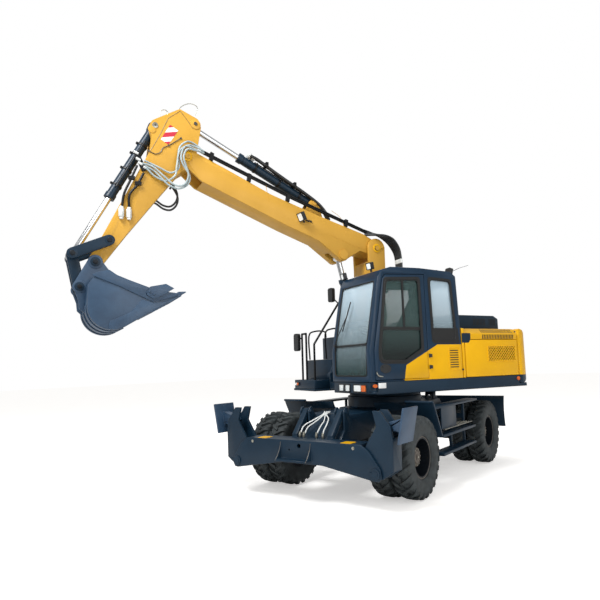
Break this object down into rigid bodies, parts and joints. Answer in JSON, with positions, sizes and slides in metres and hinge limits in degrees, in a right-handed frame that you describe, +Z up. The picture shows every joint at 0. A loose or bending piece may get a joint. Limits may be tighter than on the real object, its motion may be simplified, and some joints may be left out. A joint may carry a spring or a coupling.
{
  "type": "wheeled excavator",
  "caption": "Wheeled excavator with twin tyres, outriggers, dozer blade, cab, two-piece boom, arm and bucket.",
  "frame": {"origin": "on the ground under the slew axis", "axes": "+X to the undercarriage's outrigger end, +Y to its left, +Z up; the upper structure stands slewed 26.68 degrees to the right"},
  "size_m": [6.7128, 4.5376, 5.33],
  "materials": {
    "yellow_paint": "gloss",
    "slate_paint": "satin",
    "bucket_paint": "worn",
    "tyre_rubber": "matte",
    "rim_paint": "satin",
    "chromed_rod": "polished",
    "cast_weight": "painted",
    "cab_glass": "clear",
    "seat_cloth": "woven",
    "lamp_lens": "clear",
    "dark_steel": "satin"
  },
  "bodies": {
    "undercarriage": {"chassis_frame": "slate_paint", "mudguards": "slate_paint", "ladders": "slate_paint", "axle_front": "slate_paint", "axle_rear": "slate_paint", "drive_line": "dark_steel", "outrigger_beam": "slate_paint"},
    "upper": {"upper_frame": "yellow_paint", "counterweight": "cast_weight", "cab_shell": "yellow_paint", "cab_glass": "cab_glass", "driver_seat": "seat_cloth", "body_panels": "yellow_paint", "engine_block": "cast_weight", "front_deck": "slate_paint", "handrails": "yellow_paint", "lamps": "lamp_lens"},
    "knuckle_left": {"knuckle_left": "slate_paint"},
    "knuckle_right": {"knuckle_right": "slate_paint"},
    "wheel_front_left": {"tyres_front_left": "tyre_rubber", "rims_front_left": "rim_paint"},
    "wheel_front_right": {"tyres_front_right": "tyre_rubber", "rims_front_right": "rim_paint"},
    "wheel_rear_left": {"tyres_rear_left": "tyre_rubber", "rims_rear_left": "rim_paint"},
    "wheel_rear_right": {"tyres_rear_right": "tyre_rubber", "rims_rear_right": "rim_paint"},
    "outrigger_leg_left": {"outrigger_leg_left": "slate_paint"},
    "outrigger_pad_left": {"outrigger_pad_left": "bucket_paint"},
    "outrigger_barrel_left": {"outrigger_barrel_left": "slate_paint"},
    "outrigger_rod_left": {"outrigger_rod_left": "chromed_rod"},
    "outrigger_leg_right": {"outrigger_leg_right": "slate_paint"},
    "outrigger_pad_right": {"outrigger_pad_right": "bucket_paint"},
    "outrigger_barrel_right": {"outrigger_barrel_right": "slate_paint"},
    "outrigger_rod_right": {"outrigger_rod_right": "chromed_rod"},
    "dozer_blade": {"dozer_blade": "slate_paint"},
    "blade_barrels": {"blade_barrels": "slate_paint"},
    "blade_rods": {"blade_rods": "chromed_rod"},
    "cab_door": {"cab_door": "yellow_paint", "cab_door_glass": "cab_glass"},
    "service_door_left": {"service_door_left": "yellow_paint"},
    "service_door_right": {"service_door_right": "yellow_paint"},
    "engine_hood": {"engine_hood": "slate_paint"},
    "lift_barrels": {"lift_barrels": "slate_paint"},
    "lift_rods": {"lift_rods": "chromed_rod"},
    "adjust_barrel": {"adjust_barrel": "slate_paint"},
    "adjust_rod": {"adjust_rod": "chromed_rod"},
    "arm_barrel": {"arm_barrel": "slate_paint"},
    "arm_rod": {"arm_rod": "chromed_rod"},
    "bucket_barrel": {"bucket_barrel": "slate_paint"},
    "bucket_rod": {"bucket_rod": "chromed_rod"},
    "rocker_links": {"rocker_links": "slate_paint"},
    "bucket_link": {"bucket_link": "slate_paint"},
    "bucket": {"bucket": "bucket_paint"},
    "lower_boom": {"lower_boom": "yellow_paint"},
    "arm": {"arm": "yellow_paint"},
    "upper_boom": {"upper_boom": "yellow_paint", "boom_pipes": "dark_steel"}
  },
  "joints": [
    {"name": "slew", "type": "hinge", "parent": "undercarriage", "child": "upper", "pos_m": [0, 0, 1.296], "axis": [0, 0, 1], "continuous": true},
    {"name": "steering", "type": "hinge", "parent": "undercarriage", "child": "knuckle_left", "pos_m": [-1.438, 0.57, 0.521], "axis": [0, 0, 1], "range_deg": [-26, 26]},
    {"name": "steering_right", "type": "hinge", "parent": "undercarriage", "child": "knuckle_right", "pos_m": [-1.438, -0.57, 0.521], "axis": [0, 0, 1], "range_deg": [-27, 27]},
    {"name": "wheel_spin_front_left", "type": "hinge", "parent": "undercarriage", "child": "wheel_front_left", "pos_m": [1.37, 1.129, 0.521], "axis": [0, 1, 0], "continuous": true},
    {"name": "wheel_spin_front_right", "type": "hinge", "parent": "undercarriage", "child": "wheel_front_right", "pos_m": [1.37, -1.129, 0.521], "axis": [0, 1, 0], "continuous": true},
    {"name": "wheel_spin_rear_left", "type": "hinge", "parent": "knuckle_left", "child": "wheel_rear_left", "pos_m": [-1.438, 1.129, 0.521], "axis": [0, 1, 0], "continuous": true},
    {"name": "wheel_spin_rear_right", "type": "hinge", "parent": "knuckle_right", "child": "wheel_rear_right", "pos_m": [-1.438, -1.129, 0.521], "axis": [0, 1, 0], "continuous": true},
    {"name": "outrigger_left", "type": "hinge", "parent": "undercarriage", "child": "outrigger_leg_left", "pos_m": [2.18, 1.063, 0.472], "axis": [1, 0, 0], "range_deg": [-110, 0]},
    {"name": "pad_left", "type": "hinge", "parent": "outrigger_leg_left", "child": "outrigger_pad_left", "pos_m": [2.18, 1.21, 1.01], "axis": [1, 0, 0], "range_deg": [-0.5, 33.5]},
    {"name": "outrigger_cylinder_left", "type": "hinge", "parent": "undercarriage", "child": "outrigger_barrel_left", "pos_m": [2.18, 0.13, 0.61], "axis": [1, 0, 0], "range_deg": [-9.37, 0.5]},
    {"name": "outrigger_stroke_left", "type": "slide", "parent": "outrigger_barrel_left", "child": "outrigger_rod_left", "axis": [0, 0.9942, 0.1078], "range_m": [-0.002, 0.4061]},
    {"name": "outrigger_right", "type": "hinge", "parent": "undercarriage", "child": "outrigger_leg_right", "pos_m": [2.18, -1.063, 0.472], "axis": [-1, 0, 0], "range_deg": [-110, 0]},
    {"name": "pad_right", "type": "hinge", "parent": "outrigger_leg_right", "child": "outrigger_pad_right", "pos_m": [2.18, -1.21, 1.01], "axis": [-1, 0, 0], "range_deg": [-0.5, 33.5]},
    {"name": "outrigger_cylinder_right", "type": "hinge", "parent": "undercarriage", "child": "outrigger_barrel_right", "pos_m": [2.18, -0.13, 0.61], "axis": [-1, 0, 0], "range_deg": [-9.37, 0.5]},
    {"name": "outrigger_stroke_right", "type": "slide", "parent": "outrigger_barrel_right", "child": "outrigger_rod_right", "axis": [0, -0.9942, 0.1078], "range_m": [-0.002, 0.4061]},
    {"name": "blade_lift", "type": "hinge", "parent": "undercarriage", "child": "dozer_blade", "pos_m": [-1.73, 0, 0.44], "axis": [0, -1, 0], "range_deg": [0, 48]},
    {"name": "blade_cylinders", "type": "hinge", "parent": "undercarriage", "child": "blade_barrels", "pos_m": [-1.56, 0, 1.18], "axis": [0, -1, 0], "range_deg": [-0.5, 18.73]},
    {"name": "blade_stroke", "type": "slide", "parent": "blade_barrels", "child": "blade_rods", "axis": [-0.8228, 0, -0.5683], "range_m": [-0.002, 0.3715]},
    {"name": "cab_door_swing", "type": "hinge", "parent": "upper", "child": "cab_door", "pos_m": [0.66273, 1.09614, 2.2], "axis": [0, 0, 1], "range_deg": [0, 120]},
    {"name": "service_door_swing_left", "type": "hinge", "parent": "upper", "child": "service_door_left", "pos_m": [-0.97689, 1.92006, 1.76], "axis": [0, 0, 1], "range_deg": [0, 100]},
    {"name": "service_door_swing_right", "type": "hinge", "parent": "upper", "child": "service_door_right", "pos_m": [-2.12365, -0.36201, 1.76], "axis": [0, 0, -1], "range_deg": [0, 100]},
    {"name": "engine_hood_lift", "type": "hinge", "parent": "upper", "child": "engine_hood", "pos_m": [-1.55027, 0.77903, 2.215], "axis": [-0.449, -0.8935, 0], "range_deg": [0, 60]},
    {"name": "boom_lift", "type": "hinge", "parent": "upper", "child": "lower_boom", "pos_m": [0.10709, -0.12096, 1.72], "axis": [0.449, 0.8935, 0], "range_deg": [0, 45]},
    {"name": "lift_cylinders", "type": "hinge", "parent": "upper", "child": "lift_barrels", "pos_m": [0.68788, -0.41282, 1.55], "axis": [0.449, 0.8935, 0], "range_deg": [-0.5, 36.35]},
    {"name": "lift_stroke", "type": "slide", "parent": "lift_barrels", "child": "lift_rods", "axis": [-0.352, 0.1769, 0.9191], "range_m": [-0.4763, 0.002]},
    {"name": "boom_adjust", "type": "hinge", "parent": "lower_boom", "child": "upper_boom", "pos_m": [0.10709, -0.12096, 3.6], "axis": [-0.449, -0.8935, 0], "range_deg": [-20, 35]},
    {"name": "adjust_cylinder", "type": "hinge", "parent": "lower_boom", "child": "adjust_barrel", "pos_m": [0.34834, -0.24219, 2.12], "axis": [-0.449, -0.8935, 0], "range_deg": [-2.12, 3.34]},
    {"name": "adjust_stroke", "type": "slide", "parent": "adjust_barrel", "child": "adjust_rod", "axis": [0.2198, -0.1104, 0.9693], "range_m": [-0.2132, 0.3716]},
    {"name": "arm_swing", "type": "hinge", "parent": "upper_boom", "child": "arm", "pos_m": [2.86094, -1.5048, 4.644], "axis": [0.449, 0.8935, 0], "range_deg": [-50, 58]},
    {"name": "arm_cylinder", "type": "hinge", "parent": "upper_boom", "child": "arm_barrel", "pos_m": [1.06048, -0.60005, 4.267], "axis": [0.449, 0.8935, 0], "range_deg": [-4.41, 5.04]},
    {"name": "arm_stroke", "type": "slide", "parent": "arm_barrel", "child": "arm_rod", "axis": [0.8088, -0.4064, 0.4251], "range_m": [-0.409, 0.4741]},
    {"name": "bucket_curl", "type": "hinge", "parent": "arm", "child": "bucket", "pos_m": [3.88939, -2.02161, 3.089], "axis": [-0.449, -0.8935, 0], "range_deg": [-15, 125]},
    {"name": "rocker", "type": "hinge", "parent": "arm", "child": "rocker_links", "pos_m": [3.74732, -1.95022, 3.374], "axis": [-0.449, -0.8935, 0], "range_deg": [-11.72, 94]},
    {"name": "link_turn", "type": "hinge", "parent": "rocker_links", "child": "bucket_link", "pos_m": [4.1226, -2.1388, 3.175], "axis": [-0.449, -0.8935, 0], "range_deg": [-61.25, 7.79]},
    {"name": "bucket_cylinder", "type": "hinge", "parent": "arm", "child": "bucket_barrel", "pos_m": [3.24159, -1.69608, 5.026], "axis": [-0.449, -0.8935, 0], "range_deg": [-1.32, 7.38]},
    {"name": "bucket_stroke", "type": "slide", "parent": "bucket_barrel", "child": "bucket_rod", "axis": [0.4201, -0.2111, -0.8826], "range_m": [-0.6718, 0.0824]}
  ],
  "couplings": [
    {"joint": "steering_right", "follows": "steering", "ratio": 1},
    {"joint": "pad_left", "follows": "outrigger_left", "ratio": -0.3},
    {"joint": "outrigger_cylinder_left", "follows": "outrigger_left", "ratio": 0.0806},
    {"joint": "outrigger_stroke_left", "follows": "outrigger_left", "m_per_rad": -0.2105},
    {"joint": "pad_right", "follows": "outrigger_right", "ratio": -0.3},
    {"joint": "outrigger_cylinder_right", "follows": "outrigger_right", "ratio": 0.0806},
    {"joint": "outrigger_stroke_right", "follows": "outrigger_right", "m_per_rad": -0.2105},
    {"joint": "blade_cylinders", "follows": "blade_lift", "ratio": 0.3798},
    {"joint": "blade_stroke", "follows": "blade_lift", "m_per_rad": 0.4411},
    {"joint": "lift_cylinders", "follows": "boom_lift", "ratio": 0.7967},
    {"joint": "lift_stroke", "follows": "boom_lift", "m_per_rad": -0.6039},
    {"joint": "adjust_cylinder", "follows": "boom_adjust", "ratio": 0.0812},
    {"joint": "adjust_stroke", "follows": "boom_adjust", "m_per_rad": 0.6051},
    {"joint": "arm_cylinder", "follows": "arm_swing", "ratio": 0.0782},
    {"joint": "arm_stroke", "follows": "arm_swing", "m_per_rad": 0.4664},
    {"joint": "rocker", "follows": "bucket_curl", "ratio": 0.748},
    {"joint": "link_turn", "follows": "bucket_curl", "ratio": -0.486},
    {"joint": "bucket_cylinder", "follows": "bucket_curl", "ratio": 0.055},
    {"joint": "bucket_stroke", "follows": "bucket_curl", "m_per_rad": -0.307}
  ]
}
